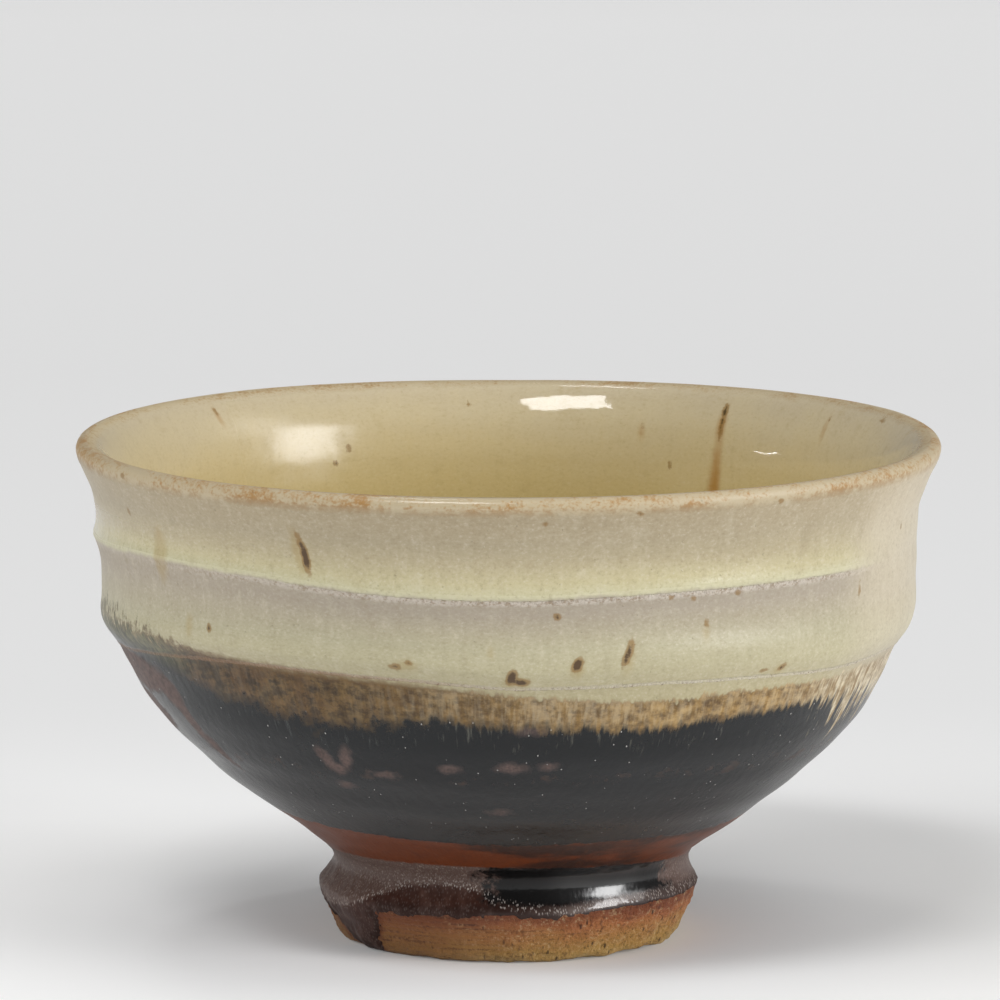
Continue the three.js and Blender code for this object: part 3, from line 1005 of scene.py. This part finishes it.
def bare_clay(name):
    """Orange-tan stoneware, groggy and pitted, redder near the glaze and paler at the lower edge."""
    net = Net(name)
    groggy = net.attribute("groggy")
    clouds = net.noise(14, 3, detail=3, shift=31)
    grain = net.noise(1.1, 0.5, detail=4, shift=32, roughness=0.65)
    turned = net.noise(18, 0.45, shift=33)
    coarse = net.noise(2.6, 1.2, detail=5, shift=35, roughness=0.75)
    clay = net.ramp(
        net.attribute("level") + clouds * 4 + grain * 1.5 + groggy,
        (0, (214, 184, 116)), (2.5, (224, 174, 92)), (4.5, (220, 154, 84)), (6.5, (212, 130, 74)),
        (8, (176, 98, 58)))
    near_glaze = (net.attribute("edge") + grain * 1.5 + turned * 1.5).step(-2.8, 0)
    light = (coarse * groggy + grain * 0.8 + turned * 0.6 * (1.1 - groggy)).step(0, 0.28)
    shade = (turned * 1.1 * (1.1 - groggy) - coarse * groggy - grain * 0.6).step(0, 0.26)
    dark = 1 - (net.grains(2.6, shift=34) + coarse * 0.3).step(0.08, 0.18)
    clay = net.layers(
        clay,
        ((1 - groggy) * 1.15, (128, 76, 46)),
        (near_glaze * (0.85 - groggy * 0.45), (112, 56, 34)),
        (light * 0.65, net.mix(groggy.step(0.3, 0.9), (176, 124, 84), (252, 226, 172))),
        (shade * 0.8, (92, 50, 28)),
        (dark * 0.75 * groggy, (46, 28, 18)))
    net.surface(Base_Color=clay, Roughness=0.62 + grain * 0.3)
    net.bump(grain * 1.2 + turned * 0.6 * (1.2 - groggy) + coarse * groggy * 3 - dark * 1.2 * groggy, 0.6)
    return net.material


outside = outside_glaze("ash_glaze_outside", 1.5)
iron = outside_glaze("iron_glaze", 1.41)
inside = liner_glaze("ash_glaze_inside")
clay_surface = bare_clay("stoneware_clay")

PIECES = [
    (ash_outside, outside, "ash_glaze_outside", "ash_glaze_outside"),
    (iron_outside, iron, "iron_glaze_outside", "iron_glaze"),
    (liner, inside, "ash_glaze_liner", "ash_glaze_inside"),
    (clay, clay_surface, "clay_bowl", "stoneware_clay"),
    (foot, clay_surface, "foot_ring", "stoneware_clay"),
]
for piece, material, node, slot in PIECES:
    piece.data.materials.append(material)
    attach(piece, "root")
    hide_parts(node)


# ----------------------------------------------------------------------------
# The stage, the lights and the camera.


def paper_tone_with_painted_light(x, y):
    """How light the paper is at a place in metres, with painted shadow and painted light. It is greyer under
    the bowl and behind it, as painted shadow, and lighter in front, far behind, and on the left, as painted
    light where the softboxes' shadows would darken it."""
    # Painted shadow under and behind the bowl, and painted light in front, far behind and on the left.
    tone_with_painted_light = 0.87 - 0.4 * hump(np.hypot(x + 0.006, y - 0.012), 0.033)
    tone_with_painted_light = tone_with_painted_light + 0.05 * step(-y, 0.02, 0.07) - 0.115 * step(y, 0.04, 0.2) + 0.14 * step(y, 0.6, 1.5)
    return tone_with_painted_light + 0.18 * step(-x, 0.034, 0.07) * hump(y - 0.02, 0.055)


def floor():
    """A wide white table, with the paper's lightness, painted shadow and painted light included, as a point
    attribute. It glows a little, as painted light.
    """
    across = np.concatenate([[-12, -4, -1.5, -0.6], np.linspace(-0.3, 0.3, 61), [0.6, 1.5, 4, 12]])
    x, y = (grid.ravel() for grid in np.meshgrid(across, across))
    count = len(across)
    corner = (np.arange(count - 1)[:, None] * count + np.arange(count - 1)).ravel()
    faces = np.stack([corner, corner + 1, corner + count + 1, corner + count], 1)
    mesh = bpy.data.meshes.new("floor")
    mesh.from_pydata(np.stack([x, y, 0 * x], 1).tolist(), [], faces.tolist())
    tone_with_painted_light = mesh.attributes.new("tone_with_painted_light", "FLOAT", "POINT")
    tone_with_painted_light.data.foreach_set("value", paper_tone_with_painted_light(x, y).astype(np.float32))
    paper = Net("paper")
    # The paper carries its painted shadow and light, and a faint glow that is painted light.
    paper.surface(Base_Color=paper.attribute("tone_with_painted_light"), Roughness=0.9, Emission_Strength=0.1)
    mesh.materials.append(paper.material)
    add_object("floor", mesh)


LIT_PLACE = Vector((0, 0, 0.04))  # the middle of the bowl, which every light faces


def softbox(name, azimuth, elevation, distance, width, height, power, reflected=True):
    """A soft light that faces the bowl, sized in metres. Azimuth 0 is the camera's side and grows to the
    right. Where it isn't reflected, it lights the glaze but leaves no highlight on it."""
    a, e = math.radians(azimuth), math.radians(elevation)
    data = bpy.data.lights.new(name, "AREA")
    data.shape = "RECTANGLE"
    data.size, data.size_y = width, height
    data.energy = power
    light = add_object(name, data)
    away = Vector((math.sin(a) * math.cos(e), -math.cos(a) * math.cos(e), math.sin(e)))
    light.location = LIT_PLACE + away * distance
    light.rotation_euler = away.to_track_quat("Z", "Y").to_euler()
    light.visible_camera = False
    light.visible_glossy = reflected


def studio():
    """An even white surround and eight soft lights."""
    world = bpy.data.worlds.new("studio")
    bpy.context.scene.world = world
    world.use_nodes = True
    background = world.node_tree.nodes["Background"]
    background.inputs["Color"].default_value = (1, 1, 1, 1)
    background.inputs["Strength"].default_value = 0.2
    softbox("key_softbox", -24.5, 56, 6, 2.0, 1.1, 86)
    softbox("left_softbox", -58, 36, 7, 4.0, 3.0, 158, reflected=False)
    softbox("right_softbox", 62, 15, 6, 2.4, 3.0, 20)
    softbox("right_softbox_middle", 67, 17, 5.98, 2.2, 2.8, 185)
    softbox("right_softbox_high", 90, 29, 6, 2.2, 1.5, 28)
    softbox("right_fill", 55, 66, 7, 3.0, 3.0, 52, reflected=False)
    softbox("lip_softbox", -150, 70, 5, 0.8, 0.2, 12)
    softbox("left_strip", -88, 10, 6, 1.0, 0.03, 6)


def camera():
    """A long lens, a little above the rim, in front of the bowl."""
    data = bpy.data.cameras.new("camera")
    data.sensor_width = 36
    data.lens = 283.8
    data.clip_start, data.clip_end = 0.05, 50
    obj = add_object("camera", data)
    obj.location = (-0.0012, -1.1018, 0.2249)
    obj.rotation_euler = (math.radians(90 - 8.42), 0, 0)
    bpy.context.scene.camera = obj


floor()
studio()
camera()
bpy.context.scene.view_settings.view_transform = "Standard"
